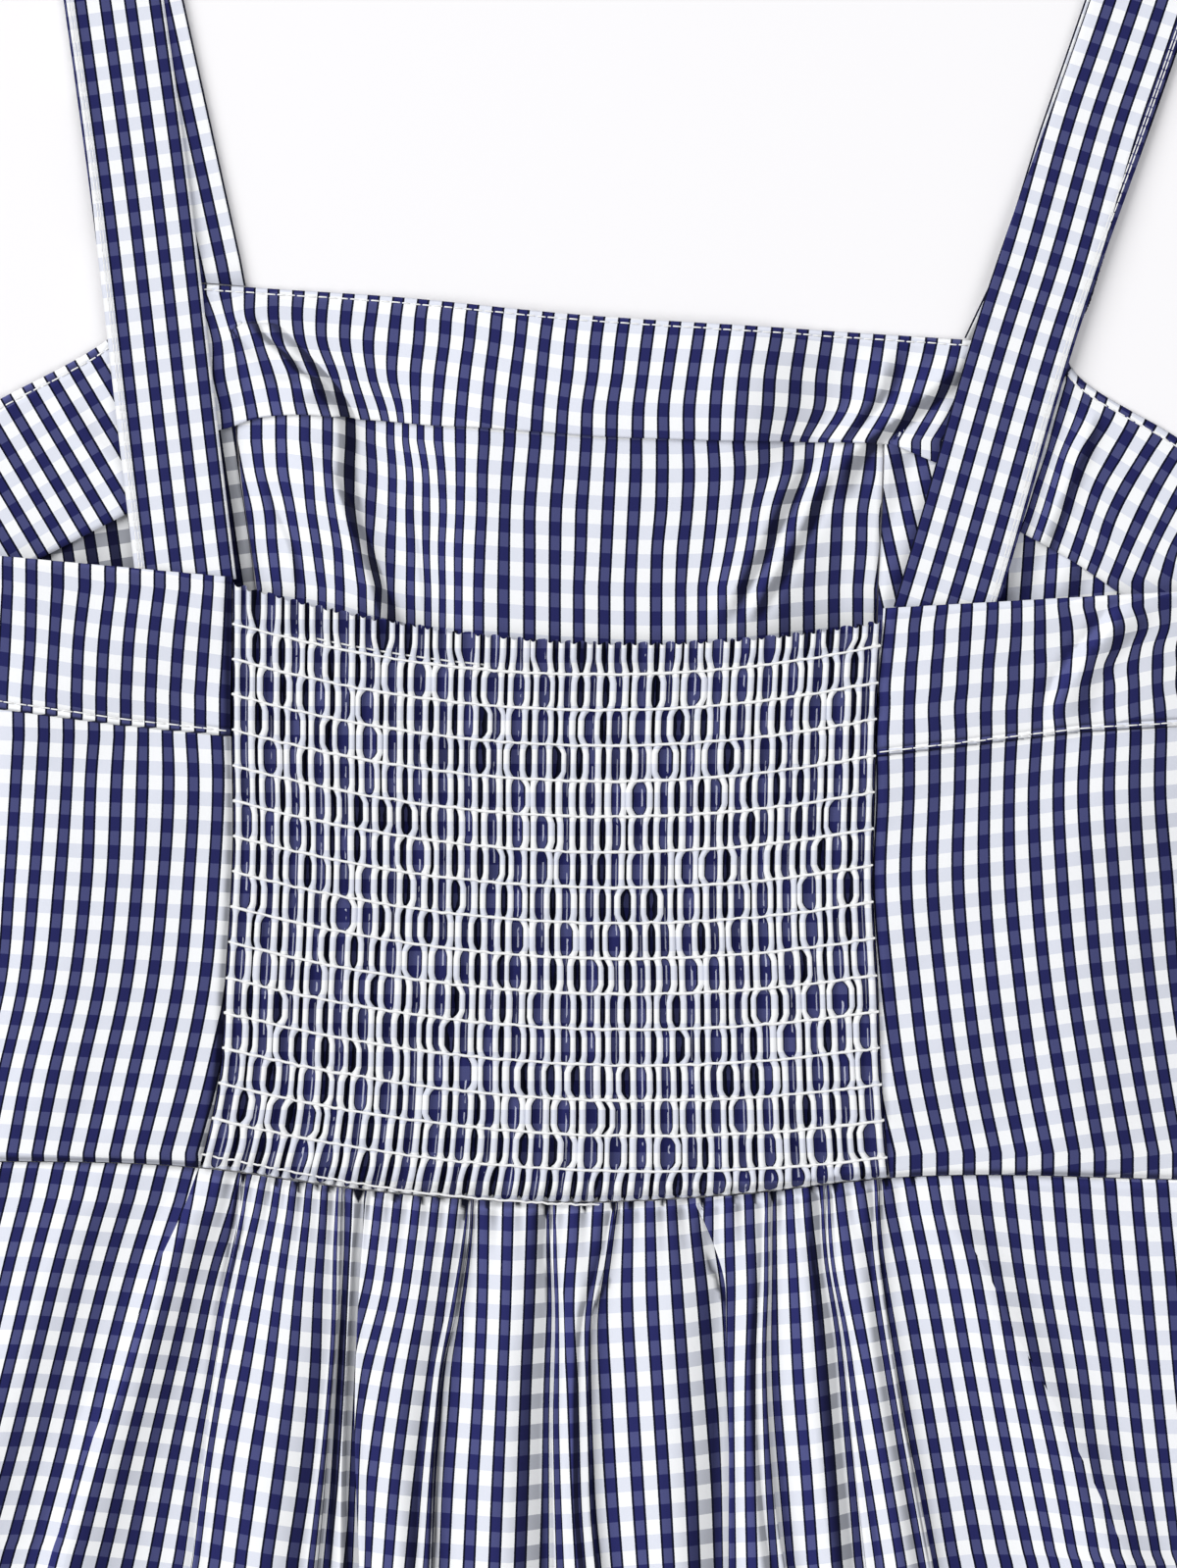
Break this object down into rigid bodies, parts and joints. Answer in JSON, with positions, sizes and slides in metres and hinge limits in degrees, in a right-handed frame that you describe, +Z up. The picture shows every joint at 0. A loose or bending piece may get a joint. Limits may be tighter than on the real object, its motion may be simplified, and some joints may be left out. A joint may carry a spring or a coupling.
{
  "type": "camisole dress laid flat, back up",
  "caption": "Camisole sundress in fine gingham, laid flat with its shirred back panel up, wide shoulder straps folded over and a gathered A-line skirt.",
  "frame": {"origin": "on the surface that the dress lies on, under the middle of its outline, on the underside of the front skirt", "axes": "+Y from the hem towards the shoulder straps, +Z up out of the back of the dress, +X towards the wearer's right"},
  "size_m": [0.756, 1.0808, 0.0126],
  "materials": {
    "gingham": "smooth cotton poplin with navy and white checks of 7 mm, matt",
    "gingham_inside": "wrong side of the yarn-dyed poplin, as strong in colour as the right side, matt",
    "gingham_shirred": "the same poplin, gathered by rows of white elastic thread, matt",
    "thread": "white sewing thread and white elastic thread, slightly glossy"
  },
  "bodies": {
    "root": {"front_centre": "gingham_inside", "front_side_left": "gingham_inside", "front_side_right": "gingham_inside", "facing_neck": "gingham_inside", "facing_armhole_left": "gingham_inside", "facing_armhole_right": "gingham_inside", "back_shirred": "gingham_shirred", "back_side_left": "gingham", "back_side_right": "gingham", "strap_left": "gingham", "strap_right": "gingham", "skirt_front": "gingham", "skirt_back": "gingham"}
  },
  "joints": []
}
